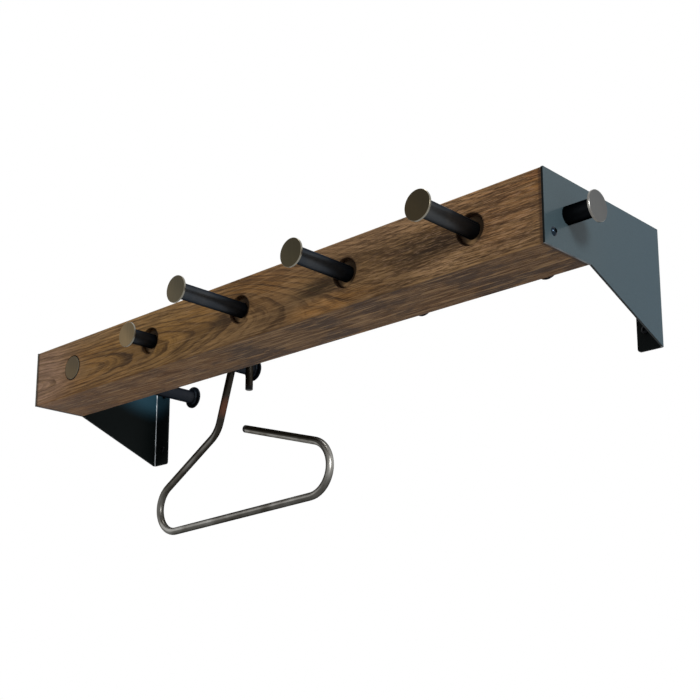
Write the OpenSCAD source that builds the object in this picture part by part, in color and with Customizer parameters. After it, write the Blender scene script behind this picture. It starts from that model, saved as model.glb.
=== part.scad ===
// Wall coat rack: a square oak beam between two folded steel brackets, held off the wall.
// Five double-ended steel pegs slide front to back through the beam, one short peg stands
// on each end, and a bent-tube coat hanger hangs behind the beam on the second peg.
// The origin is the centre of the four wall screws, on the wall. +X is to the right along
// the beam, +Y goes into the wall and +Z is up. All sizes are in millimetres.

/* [Beam] */
// Length of the wooden beam between the two brackets
beam_length = 1000; // [800:10:1400]
// Depth of the beam, front to back
beam_depth = 92; // [80:1:110]
// Height of the beam
beam_height = 90; // [80:1:110]
// Rounding of the beam's four long edges
beam_edge_radius = 1.5; // [0.5:0.25:4]

/* [Brackets] */
// Distance from the front of the beam to the wall
wall_reach = 250; // [220:1:320]
// Thickness of the folded steel sheet
sheet = 3; // [2:0.5:4]
// Height of the bracket where it meets the wall
bracket_height = 152; // [130:1:200]
// Width of the wall flange, measured from the outside of the bracket
flange_width = 36; // [32:1:50]
// Inside radius of the fold between plate and flange
fold_radius = 1.5; // [0.5:0.25:3]
// Rounding of the flange's two free corners
flange_corner_radius = 4; // [1:0.5:8]
// Diameter of the four wall screw holes
wall_hole_d = 6.5; // [4:0.5:8]
// Distance from the flange's free edge to the middle of the wall holes
wall_hole_side = 12; // [8:0.5:14]
// Distance from the top and the bottom of the flange to the middle of the wall holes
wall_hole_end = 27; // [15:1:45]

/* [Sliding pegs] */
// Diameter of the peg rods
rod_d = 22; // [16:0.5:26]
// Diameter of the discs at both ends of each peg
head_d = 37; // [34:0.5:44]
// Thickness of the discs
head_thickness = 3; // [2:0.25:4]
// Radius of the flare that runs from each disc down to its rod
flare_radius = 3; // [1:0.25:4]
// Bevel round the edge of each disc
head_bevel = 0.4; // [0.2:0.1:0.8]
// How far a pushed-in peg still stands proud of the beam's front
head_proud = 1; // [0:0.25:2]
// Room between a disc and the recess that takes it
head_gap = 1.5; // [0.5:0.25:3]
// Room left at both ends of a peg's travel, between its disc and the bush it meets
stop_room = 0.5; // [0.25:0.25:2]
// Room between a pushed-in peg and the wall
wall_gap = 1; // [0.5:0.25:3]
// How far peg 1 is pulled out
peg_1_pull = 0; // [0:1:140]
// How far peg 2 is pulled out
peg_2_pull = 41; // [0:1:100]
// How far peg 3 is pulled out
peg_3_pull = 111; // [0:1:140]
// How far peg 4 is pulled out
peg_4_pull = 94; // [0:1:140]
// How far peg 5 is pulled out
peg_5_pull = 93; // [0:1:140]

/* [Guide bushes] */
// Wall thickness of the plastic guide bushes
bush_wall = 2; // [1.5:0.25:2.5]
// Length of a bush's sleeve inside the beam
bush_length = 20; // [10:1:30]
// How far the flange of a bush stands out round its sleeve
bush_rim = 3.5; // [1:0.25:3.5]
// Thickness of the flange of a bush
bush_flange = 2; // [1:0.25:2.5]

/* [Studs and plate screws] */
// Diameter of the threaded studs
stud_d = 8; // [6:0.5:10]
// Length of a disc's own stud inside its rod
head_stud_length = 14; // [8:1:15]
// How far the stud of an end peg goes into the beam
end_stud_depth = 60; // [30:1:70]
// How far the stud of an end peg goes into its rod
end_stud_grip = 14; // [8:1:15]
// How far the end pegs stand out from the brackets
end_peg_reach = 40; // [40:1:70]
// Diameter of the screws that stop the brackets from turning
plate_screw_d = 6; // [4:0.5:6]
// Length of those screws under the head
plate_screw_length = 40; // [20:1:60]
// Distance of those screws from the front and the bottom of the beam
plate_screw_inset = 17.5; // [14:0.5:20]

/* [Hanger] */
// Outside diameter of the bent hanger tube
hanger_d = 12; // [10:0.5:14]
// Wall thickness of the hanger tube
hanger_wall = 1.5; // [1:0.25:2]
// Room between the hook and the rear disc of the peg it hangs on
hanger_room = 16; // [2:1:30]
// Radius of the hook, to the middle of the tube
hook_radius = 21; // [20:0.5:26]
// Straight length of the hook's free end
hook_tip_length = 33.5; // [10:0.5:50]
// Lean of the stem away from upright, in degrees
stem_angle = 17.5; // [12:0.5:22]
// Straight length of the stem
stem_length = 90; // [70:1:120]
// Radius of the bend under the stem
stem_bend_radius = 45; // [30:1:60]
// Slope of the shoulder, in degrees
shoulder_angle = 31; // [25:1:36]
// Straight length of the shoulder
shoulder_length = 126; // [100:1:150]
// Radius of the bend at the left end
left_bend_radius = 40; // [30:1:44]
// Slope of the bottom bar as the hanger hangs, in degrees
bar_angle = 3; // [0:0.5:5]
// Straight length of the bottom bar
bar_length = 311.5; // [270:0.5:340]
// Radius of the bend at the right end
right_bend_radius = 42; // [36:1:46]
// Slope of the open arm, in degrees
arm_angle = 16; // [12:0.5:20]
// Straight length of the open arm
arm_length = 155.5; // [120:0.5:160]
// How far the plastic plugs stand out of the tube, and as far again into it
plug_length = 6; // [4:0.5:12]
// Bevel round the outer end of the plugs
plug_bevel = 1; // [0.5:0.25:2]

/* [Hidden] */
$fn = 64;
PEG_COUNT = 5;
PEG_NAMES = [for (n = [1:PEG_COUNT]) each [
    str("peg_", n, "_rod"), str("peg_", n, "_head"), str("peg_", n, "_tail"),
    str("front_bush_", n), str("rear_bush_", n)
]];

// Clearances on the radius: a rod running in its bush, and a stud or plug seated in its bore
run_gap = 0.05;
seat_gap = 0.05;
// Clearance of bolt holes in the sheet, on the radius
bolt_gap = 0.25;
// Air left between two pieces of different bodies that only rest on each other
rest_gap = 0.3;
// How much longer a cutting tool is than what it cuts
over = 1;
// Each bend of the tube laps this far into its two straight legs, in a wall that is
// slimmer by this much on both faces, so that no two faces of the union coincide
bend_lap = 0.25;
bend_slack = 0.05;

// Heights and depths of the beam and the brackets
top = bracket_height / 2;
beam_bottom = top - beam_height;
front = -wall_reach;
beam_back = front + beam_depth;
axis_z = top - beam_height / 2;
plate_face = beam_length / 2 + sheet;
fold_outer = fold_radius + sheet;

// Pegs stand one pitch apart, half a pitch in from both ends of the beam
pitch = beam_length / PEG_COUNT;
rod_r = rod_d / 2;
head_r = head_d / 2;
head_length = head_thickness + flare_radius;
peg_length = wall_reach + head_proud - wall_gap;
recess_r = head_r + head_gap;
recess_depth = head_length - head_proud + stop_room + bush_flange;
bush_bore_r = rod_r + run_gap;
bush_r = bush_bore_r + bush_wall;
bush_flange_r = bush_r + bush_rim;
beam_bore_r = bush_r + seat_gap;
stud_r = stud_d / 2;
stud_bore_r = stud_r + seat_gap;
stud_bore_depth = head_stud_length + over;

// A peg can be pulled until the flare of its rear disc meets the rear bush
peg_travel = -wall_gap - head_length - (beam_back + bush_flange) - stop_room;
peg_pulls = [for (pull = [peg_1_pull, peg_2_pull, peg_3_pull, peg_4_pull, peg_5_pull])
    min(pull, peg_travel)];

// A button-head screw in proportion to its thread
plate_screw_r = plate_screw_d / 2;
plate_screw_head_r = 0.9 * plate_screw_d;
plate_screw_head_height = 0.55 * plate_screw_d;
plate_screw_key = 0.67 * plate_screw_d;
plate_screw_key_depth = 0.35 * plate_screw_d;

// The hook rests on top of the second peg's rod
HANGER_PEG = 2;
hanger_r = hanger_d / 2;
hanger_bore_r = hanger_r - hanger_wall;
hanger_y = peg_front(HANGER_PEG) + peg_length - head_length - hanger_room - hanger_r;
hook_z = axis_z + rod_r + rest_gap + hanger_r - hook_radius;
// Each leg of the tube: its straight length, then the radius and the turn of the bend after it
hanger_legs = [
    [hook_tip_length, hook_radius, 180 - stem_angle],
    [stem_length, stem_bend_radius, stem_angle + shoulder_angle - 90],
    [shoulder_length, left_bend_radius, 180 - shoulder_angle + bar_angle],
    [bar_length, right_bend_radius, 180 - bar_angle - arm_angle],
    [arm_length, 0, 0]
];

// Middle of peg n along the beam
function peg_x(n) = (n - (PEG_COUNT + 1) / 2) * pitch;

// Front face of peg n
function peg_front(n) = front - head_proud - peg_pulls[n - 1];

// Turns what is drawn along +Z so that it lies along +Y
module along_y() {
    rotate([-90, 0, 0]) children();
}

// Turns what is drawn along +Z so that it lies along +X
module along_x() {
    rotate([0, 90, 0]) children();
}

// Extrudes an outline drawn in Y and Z along +X
module extrude_x(width) {
    rotate([90, 0, 90]) linear_extrude(width) children();
}

// Shows the right-hand piece on the right (side = 1) or its mirror image on the left (side = -1)
module on_side(side) {
    if (side > 0) children();
    else mirror([1, 0, 0]) children();
}

// A rectangle from the corner [x, y] with its four corners rounded
module rounded_rectangle(x, y, width, height, radius) {
    translate([x + radius, y]) square([width - 2 * radius, height]);
    translate([x, y + radius]) square([width, height - 2 * radius]);
    for (cx = [x + radius, x + width - radius])
        for (cy = [y + radius, y + height - radius])
            translate([cx, cy]) circle(radius);
}

// The beam: recesses and through bores for the pegs, and the screw holes in its ends
module beam() {
    color("saddlebrown")
    difference() {
        translate([-beam_length / 2, 0, 0])
            extrude_x(beam_length)
            rounded_rectangle(front, beam_bottom, beam_depth, beam_height, beam_edge_radius);
        for (n = [1:PEG_COUNT]) translate([peg_x(n), front, axis_z]) along_y() {
            translate([0, 0, -over]) cylinder(r = recess_r, h = recess_depth + over);
            translate([0, 0, -over]) cylinder(r = beam_bore_r, h = beam_depth + 2 * over);
        }
        for (side = [-1, 1]) on_side(side) {
            at_end_peg(beam_length / 2 - end_stud_depth - over)
                cylinder(r = stud_bore_r, h = end_stud_depth + 2 * over);
            at_plate_screw(beam_length / 2 - plate_screw_length - over)
                cylinder(r = plate_screw_r + seat_gap, h = plate_screw_length + 2 * over);
        }
    }
}

// Puts what is drawn along +X on the axis of the right end peg, from the given x on
module at_end_peg(x) {
    translate([x, front + beam_depth / 2, axis_z]) along_x() children();
}

// Puts what is drawn along +X on the axis of the right plate screw, from the given x on
module at_plate_screw(x) {
    translate([x, front + plate_screw_inset, beam_bottom + plate_screw_inset])
        along_x() children();
}

// The folded sheet seen from above: plate, bend and wall flange
module fold_profile() {
    translate([plate_face - sheet, front]) square([sheet, wall_reach - fold_outer]);
    translate([plate_face - flange_width, -sheet]) square([flange_width - fold_outer, sheet]);
    translate([plate_face - fold_outer, -fold_outer]) intersection() {
        difference() {
            circle(fold_outer);
            circle(fold_radius);
        }
        square(fold_outer);
    }
}

// The bracket seen from its end: level under the beam, then sloping down to the wall
module side_outline() {
    polygon([
        [front, top], [front, beam_bottom], [beam_back, beam_bottom],
        [-fold_outer, -top], [0, -top], [0, top]
    ]);
}

// The bracket seen from the front: only the free corners of the flange are rounded
module flange_outline() {
    left = plate_face - flange_width;
    translate([left + flange_corner_radius, -top])
        square([flange_width - flange_corner_radius, bracket_height]);
    translate([left, flange_corner_radius - top])
        square([flange_width, bracket_height - 2 * flange_corner_radius]);
    for (z = [-1, 1] * (top - flange_corner_radius))
        translate([left + flange_corner_radius, z]) circle(flange_corner_radius);
}

// The right bracket: one sheet folded once, with its wall holes and its two bolt holes
module bracket() {
    color("slategray")
    difference() {
        intersection() {
            translate([0, 0, -top]) linear_extrude(bracket_height) fold_profile();
            translate([plate_face - flange_width, 0, 0])
                extrude_x(flange_width) side_outline();
            rotate([90, 0, 0]) linear_extrude(wall_reach) flange_outline();
        }
        for (z = [-1, 1] * (top - wall_hole_end))
            translate([plate_face - flange_width + wall_hole_side, -sheet - over, z])
            along_y() cylinder(d = wall_hole_d, h = sheet + 2 * over);
        at_end_peg(plate_face - sheet - over)
            cylinder(r = stud_r + bolt_gap, h = sheet + 2 * over);
        at_plate_screw(plate_face - sheet - over)
            cylinder(r = plate_screw_r + bolt_gap, h = sheet + 2 * over);
    }
}

// The right plate screw: a button head with a hexagon socket on the plate's outer face
module plate_screw() {
    dome_r = (pow(plate_screw_head_r, 2) + pow(plate_screw_head_height, 2))
        / (2 * plate_screw_head_height);
    color("black") {
        at_plate_screw(plate_face) difference() {
            intersection() {
                cylinder(r = plate_screw_head_r, h = plate_screw_head_height);
                translate([0, 0, plate_screw_head_height - dome_r]) sphere(dome_r);
            }
            translate([0, 0, plate_screw_head_height - plate_screw_key_depth])
                cylinder(d = plate_screw_key / cos(30), h = plate_screw_key_depth + over, $fn = 6);
        }
        at_plate_screw(plate_face - sheet - plate_screw_length)
            cylinder(r = plate_screw_r, h = plate_screw_length + sheet);
    }
}

// A turned disc with its flare and its threaded stud, face down at the origin
module peg_disc() {
    rotate_extrude() {
        polygon([
            [0, 0], [head_r - head_bevel, 0], [head_r, head_bevel],
            [head_r, head_thickness - head_bevel], [head_r - head_bevel, head_thickness],
            [0, head_thickness]
        ]);
        translate([0, head_thickness]) square([rod_r, flare_radius]);
        translate([rod_r, head_thickness]) difference() {
            square(flare_radius);
            translate([flare_radius, flare_radius]) circle(flare_radius);
        }
        translate([0, head_length]) square([stud_r, head_stud_length]);
    }
}

// The rod of a sliding peg between its two discs, tapped at both ends
module peg_rod(n) {
    rod_length = peg_length - 2 * head_length;
    color("dimgray")
    translate([peg_x(n), peg_front(n) + head_length, axis_z]) along_y() difference() {
        cylinder(r = rod_r, h = rod_length);
        translate([0, 0, -over]) cylinder(r = stud_bore_r, h = stud_bore_depth + over);
        translate([0, 0, rod_length - stud_bore_depth])
            cylinder(r = stud_bore_r, h = stud_bore_depth + over);
    }
}

// The front disc of a sliding peg
module peg_head(n) {
    color("rosybrown")
    translate([peg_x(n), peg_front(n), axis_z]) along_y() peg_disc();
}

// The rear disc of a sliding peg, the same piece turned round
module peg_tail(n) {
    color("rosybrown")
    translate([peg_x(n), peg_front(n) + peg_length, axis_z]) mirror([0, 1, 0]) along_y() peg_disc();
}

// A guide bush: a sleeve of the given length with its flange at the origin
module guide_bush(sleeve) {
    color("black") difference() {
        union() {
            cylinder(r = bush_flange_r, h = bush_flange);
            cylinder(r = bush_r, h = bush_flange + sleeve);
        }
        translate([0, 0, -over]) cylinder(r = bush_bore_r, h = bush_flange + sleeve + 2 * over);
    }
}

// The front bush, seated on the floor of its recess
module front_bush(n) {
    translate([peg_x(n), front + recess_depth - bush_flange, axis_z])
        along_y() guide_bush(bush_length);
}

// The rear bush, seated on the back of the beam
module rear_bush(n) {
    translate([peg_x(n), beam_back + bush_flange, axis_z])
        mirror([0, 1, 0]) along_y() guide_bush(bush_length);
}

// The stud that clamps the right end peg and the bracket to the beam
module end_stud() {
    color("silver")
    at_end_peg(beam_length / 2 - end_stud_depth)
        cylinder(r = stud_r, h = end_stud_depth + sheet + end_stud_grip);
}

// The short rod of the right end peg, bored through for its two studs
module end_rod() {
    rod_length = end_peg_reach - head_length;
    color("dimgray") at_end_peg(plate_face) difference() {
        cylinder(r = rod_r, h = rod_length);
        translate([0, 0, -over]) cylinder(r = stud_bore_r, h = rod_length + 2 * over);
    }
}

// The disc of the right end peg
module end_head() {
    color("rosybrown")
    at_end_peg(plate_face + end_peg_reach) mirror([0, 0, 1]) peg_disc();
}

// The tube's cross section, a ring
module tube_section(outer_r, inner_r) {
    difference() {
        circle(outer_r);
        circle(inner_r);
    }
}

// Places its children at the end of leg number last, facing along the tube's run there.
// The run starts at the origin along +Z and bends towards -X for a turn above 0.
module after_leg(legs, last, index = 0) {
    leg = legs[index];
    side = leg[2] < 0 ? 1 : -1;
    translate([0, 0, leg[0]]) {
        if (index == last) children();
        else
            translate([side * leg[1], 0, 0]) rotate([0, -leg[2], 0]) translate([-side * leg[1], 0, 0])
            after_leg(legs, last, index + 1) children();
    }
}

// One bend of the tube, from the origin along +Z, with a lap at both of its ends
module bend(radius, turn, outer_r, inner_r) {
    side = turn < 0 ? 1 : -1;
    lap = bend_lap / radius * 180 / PI;
    start = side < 0 ? 0 : 180 - abs(turn);
    translate([side * radius, 0, 0]) rotate([90, 0, 0]) rotate(start - lap)
        rotate_extrude(angle = abs(turn) + 2 * lap)
        translate([radius, 0]) tube_section(outer_r - bend_slack, inner_r + bend_slack);
}

// A bent tube: straight legs, each but the last with a round bend after it
module bent_tube(legs, outer_r, inner_r) {
    last = len(legs) - 1;
    for (index = [0:last]) {
        leg = legs[index];
        after_leg(legs, index) {
            translate([0, 0, -leg[0]]) linear_extrude(leg[0]) tube_section(outer_r, inner_r);
            if (index < last) bend(leg[1], leg[2], outer_r, inner_r);
        }
    }
}

// Puts the run of the hanger's tube in place, starting at the tip of the hook
module at_hook_tip() {
    translate([peg_x(HANGER_PEG) + hook_radius, hanger_y, hook_z - hook_tip_length]) children();
}

// The hanger: one tube bent in one plane, open between its stem and its free arm
module hanger_tube() {
    color("gray") at_hook_tip() bent_tube(hanger_legs, hanger_r, hanger_bore_r);
}

// A plug with its head outside the tube, which starts at the origin and runs along +Z
module tube_plug() {
    color("black") {
        translate([0, 0, -plug_length])
            cylinder(r1 = hanger_r - plug_bevel, r2 = hanger_r, h = plug_bevel);
        translate([0, 0, plug_bevel - plug_length])
            cylinder(r = hanger_r, h = plug_length - plug_bevel);
        cylinder(r = hanger_bore_r - seat_gap, h = plug_length);
    }
}

module hanger_tip_plug() {
    at_hook_tip() tube_plug();
}

module hanger_arm_plug() {
    at_hook_tip() after_leg(hanger_legs, len(hanger_legs) - 1) mirror([0, 0, 1]) tube_plug();
}

beam();
on_side(-1) bracket();  // bracket_left
on_side(1) bracket();  // bracket_right
on_side(-1) plate_screw();  // plate_screw_left
on_side(1) plate_screw();  // plate_screw_right
on_side(-1) end_stud();  // end_stud_left
on_side(1) end_stud();  // end_stud_right
on_side(-1) end_rod();  // end_rod_left
on_side(1) end_rod();  // end_rod_right
on_side(-1) end_head();  // end_head_left
on_side(1) end_head();  // end_head_right
for (n = [1:PEG_COUNT]) {
    peg_rod(n);
    peg_head(n);
    peg_tail(n);
    front_bush(n);
    rear_bush(n);
}
hanger_tube();
hanger_tip_plug();
hanger_arm_plug();
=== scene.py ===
"""A wall coat rack: its finishes, a plain studio and the camera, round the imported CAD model."""

import logging
import math
from collections.abc import Iterable, Sequence
from dataclasses import dataclass, field
from enum import Enum
from typing import Any

import bmesh
import bpy
from mathutils import Matrix, Vector


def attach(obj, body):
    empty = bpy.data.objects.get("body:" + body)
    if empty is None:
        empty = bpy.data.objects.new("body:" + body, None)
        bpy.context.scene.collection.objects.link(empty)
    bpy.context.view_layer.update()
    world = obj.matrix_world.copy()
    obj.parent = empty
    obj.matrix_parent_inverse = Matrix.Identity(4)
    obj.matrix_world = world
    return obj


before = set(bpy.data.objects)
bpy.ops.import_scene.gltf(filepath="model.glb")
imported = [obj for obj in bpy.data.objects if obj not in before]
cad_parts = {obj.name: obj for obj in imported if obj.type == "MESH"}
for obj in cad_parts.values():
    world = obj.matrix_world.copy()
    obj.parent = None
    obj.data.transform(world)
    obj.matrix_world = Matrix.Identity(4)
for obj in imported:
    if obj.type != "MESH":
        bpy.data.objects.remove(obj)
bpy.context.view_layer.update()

LOG = logging.getLogger("coat_rack")
MM = 0.001
PEG_NUMBERS = range(1, 6)
PEG_PITCH = 200.0
PEG_AXIS_Z = 31.0
END_PEG_Y = -204.0
BEAM_LENGTH = 1000.0
SEED_SPREAD = (1.0, 2.3, 3.7)

Triple = tuple[float, float, float]


def srgb(red: int, green: int, blue: int) -> Triple:
    """Turns a colour as a screen shows it into linear light.

    Args:
        red: The red channel, 0 to 255.
        green: The green channel, 0 to 255.
        blue: The blue channel, 0 to 255.

    Returns:
        The linear red, green and blue, 0 to 1.
    """
    def linear(channel: int) -> float:
        """Undoes the screen's transfer curve for one channel."""
        share = channel / 255
        return share / 12.92 if share <= 0.04045 else ((share + 0.055) / 1.055) ** 2.4

    return linear(red), linear(green), linear(blue)


class Socket:
    """An output of a node. Python's operators work on it, each by adding a Math node."""

    def __init__(self, graph: "Graph", link: bpy.types.NodeSocket) -> None:
        """Wraps one output.

        Args:
            graph: The graph that the output's node is in.
            link: The output itself.
        """
        self.graph = graph
        self.link = link

    def _math(self, operation: str, first: Any, second: Any = None) -> "Socket":
        """Adds a Math node.

        Args:
            operation: The node's operation.
            first: Its first value or link.
            second: Its second value or link, where it has one.

        Returns:
            The node's result.
        """
        values = {0: first} if second is None else {0: first, 1: second}
        return self.graph.node("ShaderNodeMath", {"operation": operation}, values)

    def __add__(self, other: Any) -> "Socket":
        """Gives self + other."""
        return self._math("ADD", self, other)

    def __radd__(self, other: Any) -> "Socket":
        """Gives other + self."""
        return self._math("ADD", other, self)

    def __sub__(self, other: Any) -> "Socket":
        """Gives self - other."""
        return self._math("SUBTRACT", self, other)

    def __rsub__(self, other: Any) -> "Socket":
        """Gives other - self."""
        return self._math("SUBTRACT", other, self)

    def __mul__(self, other: Any) -> "Socket":
        """Gives self * other."""
        return self._math("MULTIPLY", self, other)

    def __rmul__(self, other: Any) -> "Socket":
        """Gives other * self."""
        return self._math("MULTIPLY", other, self)

    def __truediv__(self, other: Any) -> "Socket":
        """Gives self / other."""
        return self._math("DIVIDE", self, other)

    def __rtruediv__(self, other: Any) -> "Socket":
        """Gives other / self."""
        return self._math("DIVIDE", other, self)

    def __abs__(self) -> "Socket":
        """Gives the size of self without its sign."""
        return self._math("ABSOLUTE", self)

    def root(self) -> "Socket":
        """Gives the square root of self."""
        return self._math("SQRT", self)

    def fraction(self) -> "Socket":
        """Gives self less its whole part."""
        return self._math("FRACT", self)

    def whole(self) -> "Socket":
        """Gives the whole part of self."""
        return self._math("FLOOR", self)

    def most(self, other: Any) -> "Socket":
        """Gives the larger of self and other."""
        return self._math("MAXIMUM", self, other)


class Graph:
    """The node tree of one material or of the world."""

    def __init__(self, tree: bpy.types.NodeTree) -> None:
        """Empties the tree.

        Args:
            tree: The tree to build in.
        """
        self.tree = tree
        tree.nodes.clear()

    @staticmethod
    def _find(sockets: Any, key: int | str) -> bpy.types.NodeSocket:
        """Finds a socket by its place, its identifier or its name.

        Args:
            sockets: A node's inputs or outputs.
            key: The place, identifier or name.

        Returns:
            The socket.
        """
        if isinstance(key, int):
            return sockets[key]
        return next((s for s in sockets if s.identifier == key), None) or sockets[key]

    @staticmethod
    def _set_stops(ramp: bpy.types.ColorRamp, stops: Sequence[tuple[float, Triple]]) -> None:
        """Gives a ramp its stops.

        Args:
            ramp: The ramp.
            stops: The place and the colour of each stop, at least two.
        """
        while len(ramp.elements) < len(stops):
            ramp.elements.new(1.0)
        for element, (place, colour) in zip(ramp.elements, stops):
            element.position = place
            element.color = (*colour, 1.0)

    def node(
        self,
        kind: str,
        settings: dict[str, Any] | None = None,
        inputs: dict[int | str, Any] | None = None,
        output: int | str = 0,
    ) -> Socket | None:
        """Adds a node, sets it up and feeds it.

        Args:
            kind: The node's type.
            settings: Its settings by name, and the stops of a ramp as (place, colour) pairs.
            inputs: A value or a Socket for each input that isn't left as it is.
            output: The output that is wanted.

        Returns:
            That output, or None from a node that has none.
        """
        made = self.tree.nodes.new(kind)
        for name, value in (settings or {}).items():
            if name == "stops":
                self._set_stops(made.color_ramp, value)
            else:
                setattr(made, name, value)
        for key, value in (inputs or {}).items():
            target = self._find(made.inputs, key)
            if isinstance(value, Socket):
                self.tree.links.new(value.link, target)
            else:
                target.default_value = value
        return Socket(self, self._find(made.outputs, output)) if made.outputs else None

    def vector(self, operation: str, first: Any, second: Any = None, **named: Any) -> Socket:
        """Adds a Vector Math node that gives a vector.

        Args:
            operation: The node's operation.
            first: Its first vector.
            second: Its second vector, where it has one.
            **named: Other inputs by name.

        Returns:
            The vector.
        """
        inputs = {0: first, **named} if second is None else {0: first, 1: second, **named}
        return self.node("ShaderNodeVectorMath", {"operation": operation}, inputs, "Vector")

    def place(self) -> Socket:
        """Gives the point in millimetres, in the part's own frame."""
        return self.vector("SCALE", self.node("ShaderNodeTexCoord", output="Object"), Scale=1 / MM)

    def parts(self, vector: Socket) -> tuple[Socket, Socket, Socket]:
        """Splits a vector.

        Args:
            vector: The vector.

        Returns:
            Its X, Y and Z.
        """
        split = self.node("ShaderNodeSeparateXYZ", inputs={0: vector})
        return tuple(Socket(self, output) for output in split.link.node.outputs)

    def near(self, at: Socket, centre: Triple, reach: Triple) -> Socket:
        """Finds the points in a soft ball, which may be longer one way than another.

        Args:
            at: The point in millimetres.
            centre: The middle of the ball.
            reach: How far it reaches along X, Y and Z.

        Returns:
            1 up to a fifth of its reach, falling to 0 at its reach.
        """
        off = self.vector("DIVIDE", self.vector("SUBTRACT", at, centre), reach)
        far = self.node("ShaderNodeVectorMath", {"operation": "LENGTH"}, {0: off}, "Value")
        return 1 - self.step(far, 0.2, 1.0)

    def noise(
        self, at: Socket, waves: Triple, detail: float = 2.0, roughness: float = 0.5, seed: float = 0.0
    ) -> Socket:
        """Adds noise that may be longer one way than another.

        Args:
            at: The point in millimetres.
            waves: How many waves there are in a millimetre along X, Y and Z.
            detail: How many finer layers lie on it.
            roughness: How strong those layers are.
            seed: A shift that makes it differ from other noise.

        Returns:
            The noise, 0 to 1.
        """
        scaled = self.vector("MULTIPLY", at, waves)
        moved = self.vector("ADD", scaled, tuple(seed * part for part in SEED_SPREAD))
        inputs = {"Vector": moved, "Scale": 1.0, "Detail": detail, "Roughness": roughness}
        return self.node("ShaderNodeTexNoise", {"noise_dimensions": "3D"}, inputs)

    def step(self, value: Socket, low: float, high: float) -> Socket:
        """Gives a smooth step.

        Args:
            value: What steps.
            low: Where the step starts at 0.
            high: Where it ends at 1.

        Returns:
            The step, 0 to 1.
        """
        inputs = {"Value": value, "From Min": low, "From Max": high}
        return self.node("ShaderNodeMapRange", {"interpolation_type": "SMOOTHSTEP"}, inputs)

    def blend(self, share: Any, first: Any, second: Any) -> Socket:
        """Mixes two colours.

        Args:
            share: How much of the second there is, 0 to 1.
            first: A colour or a Socket.
            second: A colour or a Socket.

        Returns:
            The mixed colour.
        """
        def full(colour: Any) -> Any:
            """Adds the fourth channel to a plain colour."""
            return colour if isinstance(colour, Socket) else (*colour, 1.0)

        inputs = {"Factor_Float": share, "A_Color": full(first), "B_Color": full(second)}
        return self.node("ShaderNodeMix", {"data_type": "RGBA"}, inputs, "Result_Color")

    def bump(self, height: Socket, distance: float, strength: float = 1.0) -> Socket:
        """Adds a Bump node.

        Args:
            height: The height, 0 to 1.
            distance: How high 1 is, in millimetres.
            strength: How much of it shows.

        Returns:
            The bent normal.
        """
        inputs = {"Height": height, "Distance": distance * MM, "Strength": strength}
        return self.node("ShaderNodeBump", None, inputs)

    def shown(self) -> Socket:
        """Gives 1 to a ray from the camera, off a mirroring face or through a clear one, 0 to others."""
        kinds = ("Is Camera Ray", "Is Glossy Ray", "Is Transmission Ray")
        camera, glossy, through = (self.node("ShaderNodeLightPath", output=kind) for kind in kinds)
        return camera.most(glossy).most(through)

    def surface(self, inputs: dict[str, Any]) -> None:
        """Adds the surface shader and the output.

        Args:
            inputs: A value or a Socket for each input of the Principled shader that is set.
        """
        shader = self.node("ShaderNodeBsdfPrincipled", None, inputs)
        self.node("ShaderNodeOutputMaterial", None, {"Surface": shader})


class Side(Enum):
    """The two ends of the beam, as the sign of X."""

    LEFT = -1
    RIGHT = 1

    @property
    def word(self) -> str:
        """Gives the side's word in the nodes' names."""
        return self.name.lower()


class Run(Enum):
    """The axis that drawing or brushing lines follow."""

    BEAM = 0
    PEG = 1
    UPRIGHT = 2

    def waves(self, across: float, along: float) -> Triple:
        """Gives noise waves that make such lines.

        Args:
            across: How many waves there are in a millimetre across the lines.
            along: How many there are along them.

        Returns:
            The waves along X, Y and Z.
        """
        return tuple(along if axis == self.value else across for axis in range(3))


class Pivot(Enum):
    """The axis that a disc is turned about."""

    SLIDING_PEG = "the nearest of the five sliding pegs"
    END_PEG = "the two end pegs"

    def circle(self, graph: Graph, at: Socket) -> tuple[Socket, Socket, Socket]:
        """Measures from the axis.

        Args:
            graph: The graph to build in.
            at: The point in millimetres.

        Returns:
            How far the point is to the side of the axis and above it, and its distance from it.
        """
        x, y, z = graph.parts(at)
        if self is Pivot.SLIDING_PEG:
            half_row = PEG_PITCH * len(PEG_NUMBERS) / 2
            side = ((x + half_row) / PEG_PITCH).fraction() * PEG_PITCH - PEG_PITCH / 2
        else:
            side = y - END_PEG_Y
        up = z - PEG_AXIS_Z
        return side, up, (side * side + up * up).root()


@dataclass(frozen=True)
class Finish:
    """A surface made of nodes. Each kind of finish says in paint() what varies over it."""

    name: str
    slot: str

    def paint(self, graph: Graph) -> None:
        """Builds the nodes.

        Args:
            graph: The material's empty graph.
        """
        raise NotImplementedError

    def material(self) -> bpy.types.Material:
        """Gives the finish's material, which is made only once."""
        made = bpy.data.materials.get(self.name)
        if made is None:
            made = bpy.data.materials.new(self.name)
            made.use_nodes = True
            self.paint(Graph(made.node_tree))
        return made

    def dress(self, nodes: Iterable[str]) -> None:
        """Puts the finish on CAD nodes.

        Args:
            nodes: The nodes' names.
        """
        for name in nodes:
            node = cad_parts[name]
            node.data.materials.clear()
            node.data.materials.append(self.material())
            LOG.info("%s: %s", name, self.name)


@dataclass(frozen=True)
class Patch:
    """A soft patch of another colour on the front of the beam; some are painted shade and painted
    shadows of the pegs. Sizes are in millimetres.
    """

    x: float
    z: float
    wide: float
    high: float
    share: float
    colour: Triple
    deep: float = 60.0


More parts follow.
